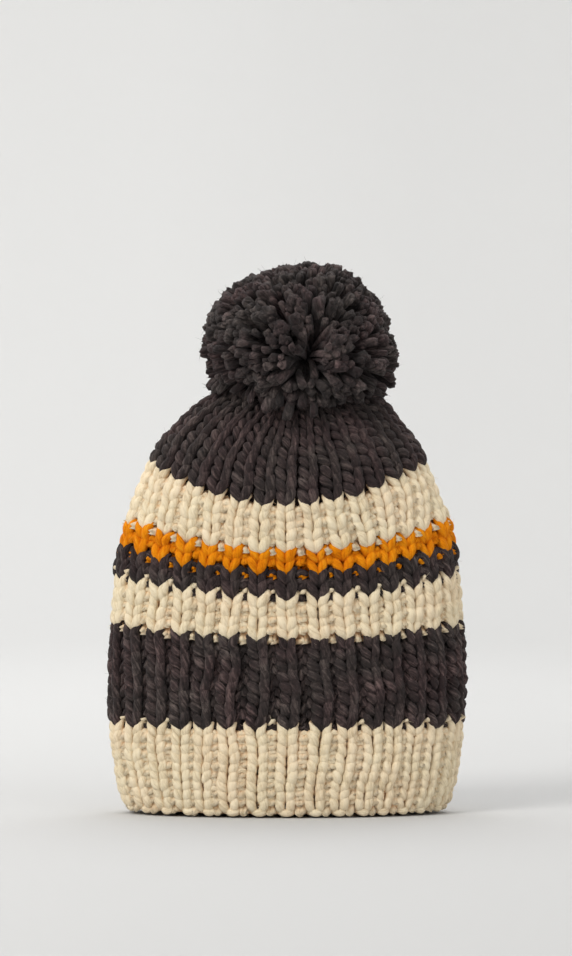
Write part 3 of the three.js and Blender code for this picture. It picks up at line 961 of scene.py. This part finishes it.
# ------------------------------------------------------------------ cords and tails
def cord(name, paths, radius, closed, node, body, sides=10, wool_key="charcoal"):
    paths = np.array(paths)
    verts, faces, yarn, shape = sweep(paths, np.full(paths.shape[:2], radius), sides, closed,
                                      phase=random_phases(len(paths)))
    tris = None
    if not closed:
        verts, yarn, tris = cap_ends(verts, yarn, shape)
    place(make_mesh(name, verts, faces, yarn, tris), node, body, wool_key)


def draw_cord():
    """The wavy ring that gathers the top of the crown."""
    t = np.linspace(0, TAU, 96, endpoint=False)
    radius = 8.3 + 0.5 * np.sin(7 * t)
    ring = np.stack([AXIS_X + radius * np.cos(t), radius * np.sin(t),
                     262 + 1.0 * np.sin(15 * t)], -1)
    cord("crown_draw_cord_yarn", [ring], 1.9, True, "crown_draw_cord", "hat")


def binding():
    """Three upright turns round the middle of the pompom."""
    t = np.linspace(0, TAU, 96, endpoint=False)
    wraps = []
    for k in range(3):
        radius = 9.0 + 0.15 * k
        wraps.append(np.stack([AXIS_X + radius * np.cos(t),
                               (k - 1) * 1.25 + 0.25 * np.sin(3 * t + k),
                               BALL[2] + radius * np.sin(t)], -1))
    cord("binding_yarn_wraps", wraps, 1.0, True, "binding_yarn", "pompom")


def tie():
    """Two tails in the pompom, a three-strand shank and the knot inside the hat."""
    h = np.linspace(0, 1, 40)
    for name, side in (("tie_tail_left", -1), ("tie_tail_right", 1)):
        tail = np.stack([AXIS_X + side * 2.6 + 0.25 * np.sin(9 * h),
                         0.3 * np.cos(7 * h + side), 268.8 + 8.2 * h], -1)
        cord(name + "_yarn", [tail], 1.95, False, name, "pompom")
    strands = []
    for k in range(3):
        turn = 2.6 * TAU * h / 2 + k * TAU / 3
        strands.append(np.stack([AXIS_X + 1.75 * np.cos(turn), 1.75 * np.sin(turn),
                                 254.9 + 12.3 * h], -1))
    cord("tie_shank_rope", strands, 1.65, False, "tie_shank", "tie")
    t = np.linspace(0, TAU, 160, endpoint=False)
    knot = np.stack([AXIS_X + 1.55 * (np.sin(t) + 2 * np.sin(2 * t)),
                     1.55 * (np.cos(t) - 2 * np.cos(2 * t)), 246.6 - 2.6 * np.sin(3 * t)], -1)
    cord("inside_knot_yarn", [knot], 2.1, True, "inside_knot", "knot")


def back_seam():
    """The seam on the inside of the back: one yarn laced from side to side."""
    samples = 900
    levels = np.linspace(0.9, CROWN_START, samples)
    point, normal, _ = frame_at(levels, np.full(samples, math.pi / 2))
    lace = np.linspace(0, 26 * TAU, samples)
    sideways = np.cross(unit(np.gradient(point, axis=0)), normal)
    path = (point + normal * (-14.0 - 2.1 + 0.7 * np.cos(lace))[:, None]
            + sideways * (1.7 * np.sin(lace))[:, None])
    cord("back_seam_yarn_lacing", [path], 0.95, False, "back_seam_yarn", "hat", sides=8,
         wool_key="cream")


draw_cord()
binding()
tie()
back_seam()

# ------------------------------------------------------------------ the care label
LABEL_CORNER = 3.3, 25.2, 24.2  # left edge, middle of the thickness, lower edge
LABEL_WIDTH, LABEL_HEIGHT = 23.8, 31.6
LABEL_GRID = 26, 36  # points across and up


def build_label():
    """A blank two-layer ribbon, thinner at its left edge and a little curled."""
    across, up = LABEL_GRID
    left, middle, bottom = LABEL_CORNER
    u, v = np.meshgrid(np.linspace(0, 1, across), np.linspace(0, 1, up))
    curl = 1.3 * (u ** 2) * np.sin(1.4 + 2.4 * v) + 0.35 * np.sin(6 * v) * u
    layers = []
    for side in (-1, 1):
        thick = side * (0.16 + 0.22 * np.minimum(1, u * 6))
        layers.append(np.stack([left + LABEL_WIDTH * u, middle - curl * 0.8 + thick,
                                bottom + LABEL_HEIGHT * v + 0.3 * np.sin(4 * u)],
                               -1).reshape(-1, 3))
    layer = across * up
    quads = []
    for j in range(up - 1):
        for i in range(across - 1):
            a = j * across + i
            b = a + across
            quads.append((a, a + 1, b + 1, b))
            quads.append((layer + b, layer + b + 1, layer + a + 1, layer + a))
    grid = np.arange(layer).reshape(up, across)
    for line, flip in ((grid[:, 0], False), (grid[:, -1], True), (grid[0], True),
                       (grid[-1], False)):
        for a, b in zip(line[:-1], line[1:]):
            quad = (a, b, layer + b, layer + a)
            quads.append(quad[::-1] if flip else quad)
    ribbon = make_mesh("care_label_ribbon", np.concatenate(layers), np.array(quads))
    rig.replaces(ribbon, "care_label")
    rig.ride(ribbon, "label")
    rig.slot(ribbon, "label_ribbon")
    return ribbon


label = build_label()


# ------------------------------------------------------------------ material helpers
def node_material(name):
    mat = bpy.data.materials.new(name)
    mat.use_nodes = True
    tree = mat.node_tree
    tree.nodes.clear()
    out = tree.nodes.new("ShaderNodeOutputMaterial")
    bsdf = tree.nodes.new("ShaderNodeBsdfPrincipled")
    tree.links.new(bsdf.outputs[0], out.inputs[0])
    return mat, tree, bsdf


def set_inputs(node, values):
    for key, value in values.items():
        node.inputs[key].default_value = value


def add_node(tree, kind, values=None, **settings):
    node = tree.nodes.new(kind)
    for key, value in settings.items():
        setattr(node, key, value)
    set_inputs(node, values or {})
    return node


def linear(colour):
    """Linear RGBA from sRGB values up to 255."""
    return tuple((c / 255) / 12.92 if c / 255 <= 0.04045 else ((c / 255 + 0.055) / 1.055) ** 2.4
                 for c in colour) + (1,)


def ramp(tree, stops, factor):
    node = tree.nodes.new("ShaderNodeValToRGB")
    elements = node.color_ramp.elements
    while len(elements) < len(stops):
        elements.new(0.5)
    for element, (position, colour) in zip(elements, stops):
        element.position, element.color = position, colour
    tree.links.new(factor, node.inputs["Fac"])
    return node.outputs["Color"]


def noise(tree, vector, scale, detail, rough, stretch=None):
    node = add_node(tree, "ShaderNodeTexNoise",
                    {"Scale": scale, "Detail": detail, "Roughness": rough})
    if stretch is not None:
        mapping = add_node(tree, "ShaderNodeMapping", {"Scale": stretch})
        tree.links.new(vector, mapping.inputs["Vector"])
        vector = mapping.outputs[0]
    tree.links.new(vector, node.inputs["Vector"])
    return node.outputs["Fac"]


def feed(tree, value, socket):
    """Link a socket, or set a plain value."""
    if isinstance(value, (int, float, tuple)):
        socket.default_value = value
    else:
        tree.links.new(value, socket)


def calc(tree, operation, a, b):
    node = add_node(tree, "ShaderNodeMath", operation=operation)
    feed(tree, a, node.inputs[0])
    feed(tree, b, node.inputs[1])
    return node.outputs[0]


def multiply(tree, a, b, factor):
    node = add_node(tree, "ShaderNodeMix", data_type="RGBA", blend_type="MULTIPLY")
    for i, value in ((0, factor), (6, a), (7, b)):  # the factor and the two colours
        feed(tree, value, node.inputs[i])
    return node.outputs[2]


def bump(tree, height, bsdf, strength, distance):
    node = add_node(tree, "ShaderNodeBump", {"Strength": strength, "Distance": distance})
    tree.links.new(height, node.inputs["Height"])
    tree.links.new(node.outputs["Normal"], bsdf.inputs["Normal"])


# ------------------------------------------------------------------ materials
def wool(name, dark, mid, light, warm, cool, recess_shade, sheen, tint, span=0.13, gloss=0.2):
    """Soft low-twist yarn: fibres along the strand, heathered colour, felted surface.

    The span is the reach of the noise from mid to dark and light; warm and cool are the casts
    the dye drifts between. The tint for deep yarn is painted shade: it is multiplied in where the yarn lies
    deep between the stitches, in place of the shadow and bounced light in the grooves."""
    mat, tree, bsdf = node_material(name)
    yarn = add_node(tree, "ShaderNodeAttribute", attribute_name="yarn_co").outputs["Vector"]
    tone = add_node(tree, "ShaderNodeAttribute", attribute_name="yarn_tone").outputs["Fac"]
    place_co = tree.nodes.new("ShaderNodeTexCoord").outputs["Object"]
    fibre = noise(tree, yarn, scale=2.3, detail=6, rough=0.68, stretch=(1.0, 1.0, 0.5))
    strand = noise(tree, yarn, scale=1.3, detail=2, rough=0.5, stretch=(1.0, 1.0, 0.8))
    patch = noise(tree, place_co, scale=70, detail=3, rough=0.5)
    felt = noise(tree, place_co, scale=480, detail=2, rough=0.6)
    shares = [calc(tree, "MULTIPLY", value, share) for value, share in (
        (fibre, 0.45), (strand, 0.26), (patch, 0.17), (tone, 0.035), (felt, 0.12))]
    strand_mix = calc(tree, "ADD", shares[0], shares[1])
    patch_mix = calc(tree, "ADD", shares[2], shares[3])
    shade = calc(tree, "ADD", calc(tree, "ADD", strand_mix, patch_mix), shares[4])
    colour = ramp(tree, [(0.5 - span, linear(dark)), (0.50, linear(mid)),
                         (0.5 + span, linear(light))], shade)
    drift = noise(tree, place_co, scale=42, detail=2, rough=0.5)
    cast = ramp(tree, [(0.40, (*cool, 1)), (0.60, (*warm, 1))], drift)
    colour = multiply(tree, colour, cast, 1.0)
    # Painted shade: yarn deep between the stitches takes the wool's deep-yarn tint, standing in for the shadow and
    # bounced light in the grooves.
    deep = add_node(tree, "ShaderNodeAttribute", attribute_name="yarn_deep").outputs["Fac"]
    colour = multiply(tree, colour, (*recess_shade, 1), deep)
    tree.links.new(colour, bsdf.inputs["Base Color"])
    height = calc(tree, "ADD", calc(tree, "MULTIPLY", fibre, 0.75),
                  calc(tree, "MULTIPLY", felt, 0.30))
    bump(tree, height, bsdf, strength=0.6, distance=0.0022)
    set_inputs(bsdf, {"Roughness": 0.92, "Specular IOR Level": gloss, "Sheen Weight": sheen,
                      "Sheen Roughness": 0.55, "Sheen Tint": (*tint, 1)})
    return mat


CHARCOAL_TINT = (0.85, 0.80, 0.80)
WOOLS = {
    # Cream: the deep-yarn tint is painted warm shade, a pinkish cast in the grooves standing in for light scattered
    # and bounced between the cream yarns.
    "cream": wool(
        "cream_wool", dark=(201, 181, 148), mid=(232, 215, 185), light=(239, 224, 197),
        warm=(1.005, 0.985, 0.965), cool=(0.985, 1.0, 0.985), recess_shade=(1.17, 0.915, 0.74),
        sheen=0.10, tint=(1.0, 0.97, 0.9), span=0.12),
    "charcoal": wool(
        "charcoal_wool", dark=(22, 17, 17), mid=(51, 41, 40), light=(100, 85, 81),
        warm=(1.0, 0.93, 0.96), cool=(0.90, 1.0, 0.98), recess_shade=(1.0, 1.0, 1.0),
        sheen=0.06, tint=CHARCOAL_TINT),
    # A copy of the charcoal wool for the wide band, the same yarn as the other charcoal bands: its deep-yarn tint is
    # painted shade that darkens the grooves, and its lighter light end stands in for the highlights on its ribs.
    "charcoal_rib": wool(
        "charcoal_wool_rib_painted_contrast", dark=(21, 16, 16), mid=(53, 43, 42), light=(112, 95, 91),
        warm=(1.0, 0.93, 0.96), cool=(0.90, 1.0, 0.98), recess_shade=(0.82, 0.79, 0.79),
        sheen=0.06, tint=CHARCOAL_TINT),
    "charcoal_pom": wool(
        "charcoal_wool_cut", dark=(23, 18, 18), mid=(52, 43, 42), light=(102, 87, 84),
        warm=(1.0, 0.92, 0.96), cool=(0.88, 1.0, 0.98), recess_shade=(1.0, 1.0, 1.0),
        sheen=0.08, tint=CHARCOAL_TINT),
    # Mustard: the deep-yarn tint is painted shade, darker and more orange in the grooves.
    "mustard": wool(
        "mustard_wool", dark=(184, 92, 0), mid=(226, 134, 8), light=(240, 164, 36),
        warm=(1.0, 0.97, 1.0), cool=(0.985, 1.0, 1.0), recess_shade=(1.0, 0.86, 0.6),
        sheen=0.02, tint=(1.0, 0.85, 0.5), span=0.155, gloss=0.10),
}
for piece, key in yarn_pieces:
    piece.data.materials.append(WOOLS[key])


def label_satin():
    """Off-white ribbon with fine level ribs."""
    mat, tree, bsdf = node_material("label_satin")
    coords = tree.nodes.new("ShaderNodeTexCoord")
    wave = add_node(tree, "ShaderNodeTexWave", {"Scale": 420, "Distortion": 0.6},
                    bands_direction="Z")
    tree.links.new(coords.outputs["Object"], wave.inputs["Vector"])
    ribs = wave.outputs["Fac"]
    colour = ramp(tree, [(0.2, linear((214, 210, 200))), (0.8, linear((240, 238, 231)))], ribs)
    tree.links.new(colour, bsdf.inputs["Base Color"])
    bump(tree, ribs, bsdf, strength=0.3, distance=0.0002)
    set_inputs(bsdf, {"Roughness": 0.45, "Sheen Weight": 0.2})
    return mat


label.data.materials.append(label_satin())

# ------------------------------------------------------------------ stage (metres)
FLOOR_RADIUS = 2.4
COVE_RADIUS = 1.6  # of the curve from floor to wall
WALL_TOP = 4.5
STAGE_SIDES = 72


def build_stage():
    """A round floor that curves up into a wall."""
    outline = [(0.0, 0.0)] + [(r, 0.0) for r in np.linspace(0.3, FLOOR_RADIUS, 8)]
    for a in np.linspace(0, math.pi / 2, 14)[1:]:
        outline.append((FLOOR_RADIUS + COVE_RADIUS * math.sin(a),
                        COVE_RADIUS - COVE_RADIUS * math.cos(a)))
    outline.append((FLOOR_RADIUS + COVE_RADIUS, WALL_TOP))
    turns = [TAU * k / STAGE_SIDES for k in range(STAGE_SIDES)]
    verts = [(r * math.cos(a) * 1000, r * math.sin(a) * 1000, z * 1000)
             for r, z in outline for a in turns]
    return make_mesh("studio_cove", np.array(verts),
                     tube_faces(1, len(outline), STAGE_SIDES, False))


def vector_math(tree, operation, vector):
    node = add_node(tree, "ShaderNodeVectorMath", operation=operation)
    tree.links.new(vector, node.inputs[0])
    return node


def map_range(tree, value, from_min, from_max, to_min, to_max):
    node = add_node(tree, "ShaderNodeMapRange", {
        "From Min": from_min, "From Max": from_max, "To Min": to_min, "To Max": to_max})
    tree.links.new(value, node.inputs["Value"])
    return node.outputs[0]


def studio_paper():
    """Grey with painted shade: darker near the middle, where the lamps light the floor most, and lighter outwards and
    upwards, where less of their light reaches; darker again in front and to the right.
    """
    mat, tree, bsdf = node_material("studio_paper")
    position = tree.nodes.new("ShaderNodeNewGeometry").outputs["Position"]
    flat = vector_math(tree, "MULTIPLY", position)
    flat.inputs[1].default_value = (1, 1, 0)
    distance = vector_math(tree, "LENGTH", flat.outputs[0])
    axes = tree.nodes.new("ShaderNodeSeparateXYZ")
    tree.links.new(position, axes.inputs[0])
    far = calc(tree, "MULTIPLY", distance.outputs["Value"], 0.20)
    high = calc(tree, "MULTIPLY", axes.outputs["Z"], 0.12)
    # Painted shade that evens out the lamps: the grey is lower near the middle and higher out and up.
    painted_shade_grey = ramp(tree, [(0.04, (0.533, 0.533, 0.53, 1)), (0.20, (0.60, 0.60, 0.596, 1)),
                       (0.46, (0.70, 0.70, 0.696, 1)), (0.92, (0.795, 0.795, 0.79, 1))],
                calc(tree, "ADD", far, high))
    # Painted shade: the floor darkens towards the front.
    near = map_range(tree, axes.outputs["Y"], from_min=-0.75, from_max=-0.05, to_min=0.85,
                     to_max=1.0)
    shade = vector_math(tree, "SCALE", painted_shade_grey)
    # Painted shade: the paper darkens to the right.
    right = map_range(tree, axes.outputs["X"], from_min=-0.2, from_max=0.2, to_min=1.0,
                      to_max=0.94)
    tree.links.new(calc(tree, "MULTIPLY", near, right), shade.inputs["Scale"])
    tree.links.new(shade.outputs[0], bsdf.inputs["Base Color"])
    set_inputs(bsdf, {"Roughness": 0.9})
    return mat


stage = build_stage()
stage.data.materials.append(studio_paper())
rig.stage(stage)


# ------------------------------------------------------------------ lights, world, camera
def area_light(name, location, target, size, power, colour=(1, 1, 1)):
    light = bpy.data.lights.new(name, "AREA")
    light.shape = "RECTANGLE"
    light.size = light.size_y = size
    light.energy = power
    light.color = colour
    obj = bpy.data.objects.new(name, light)
    bpy.context.scene.collection.objects.link(obj)
    obj.location = location
    aim = Vector(target) - Vector(location)
    obj.rotation_euler = aim.to_track_quat("-Z", "Y").to_euler()


area_light("key", location=(-1.95, -2.21, 2.42), target=(0, 0, 0.16), size=1.43, power=71,
           colour=(1.0, 0.985, 0.96))
area_light("fill", location=(2.47, -2.47, 1.12), target=(0, 0, 0.15), size=2.08, power=20,
           colour=(0.97, 0.98, 1.0))
area_light("top", location=(0.0, 0.9, 2.6), target=(0, 0.2, 0.1), size=2.4, power=40)

scene = bpy.context.scene
world = bpy.data.worlds.new("studio")
scene.world = world
world.use_nodes = True
set_inputs(world.node_tree.nodes["Background"],
           {"Color": (1.0, 0.995, 0.985, 1), "Strength": 0.85})

lens = bpy.data.cameras.new("camera")
lens.lens = 150
lens.sensor_fit = "VERTICAL"
lens.sensor_height = 36
lens.clip_end = 50
camera = bpy.data.objects.new("camera", lens)
scene.collection.objects.link(camera)
camera.location = (0.0, -2.43, 0.204)
camera.rotation_euler = (math.radians(90), 0, 0)  # level, looking along +Y
scene.camera = camera
scene.view_settings.view_transform = "Standard"


def plain(box):
    return [[float(x) for x in point] for point in box]


# Guards against bounds that aren't a list of points: they are written as text instead.
try:
    json.dump({"cad": plain(CAD_BOX), "visual": plain(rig.bounds())}, open("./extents.json", "w"))
except TypeError:
    json.dump({"cad": str(CAD_BOX), "visual": str(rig.bounds())}, open("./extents.json", "w"))
